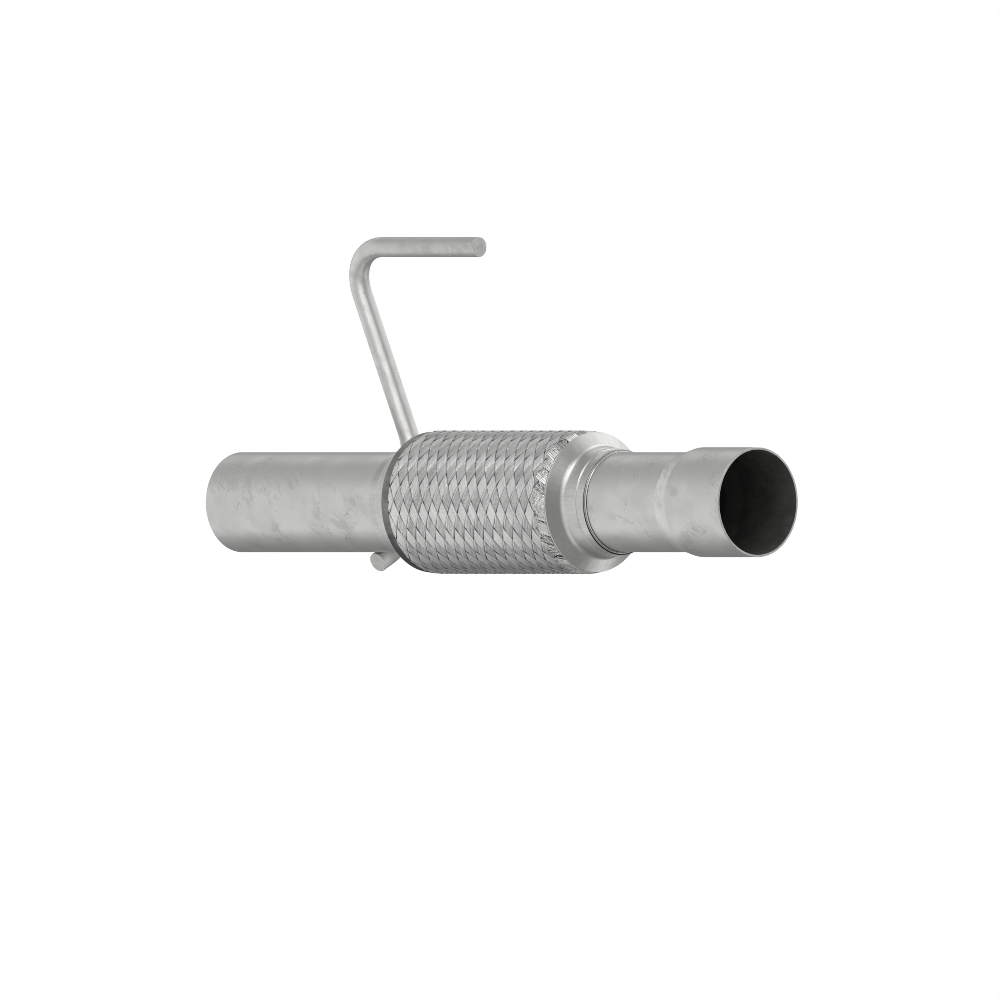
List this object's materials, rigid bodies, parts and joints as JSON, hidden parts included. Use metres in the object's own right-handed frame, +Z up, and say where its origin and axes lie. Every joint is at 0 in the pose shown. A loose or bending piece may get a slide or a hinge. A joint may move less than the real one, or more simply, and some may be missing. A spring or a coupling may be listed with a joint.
{
  "type": "intermediate exhaust pipe",
  "caption": "Exhaust pipe section with a braided flexible coupling, a flared outlet socket and a bent hanger rod.",
  "frame": {"origin": "centre of the inlet pipe's open end", "axes": "+X along the gas flow from inlet to outlet socket, +Z up towards the hanger arm, +Y towards the hanger's foot side"},
  "size_m": [0.3774, 0.0722, 0.1687],
  "materials": {
    "pipe_steel": "satin stainless tube with faint smudges",
    "cap_steel": "pressed stainless sheet, satin",
    "braid_wire": "woven flat strands of fine bright wire",
    "inner_steel": "thin stainless strip, dull",
    "rod_steel": "drawn bar, satin with dull streaks",
    "weld_metal": "weld bead, rippled and slightly tinted"
  },
  "bodies": {
    "root": {"inlet_pipe": "pipe_steel", "outlet_pipe": "pipe_steel", "inlet_end_cap": "cap_steel", "outlet_end_cap": "cap_steel", "outer_braid": "braid_wire", "bellows": "inner_steel", "interlock_liner": "inner_steel", "inlet_backing_ring": "cap_steel", "outlet_backing_ring": "cap_steel", "hanger_rod": "rod_steel", "hanger_weld_inlet_side": "weld_metal", "hanger_weld_outlet_side": "weld_metal", "inlet_neck_weld": "weld_metal", "outlet_neck_weld": "weld_metal"}
  },
  "joints": []
}
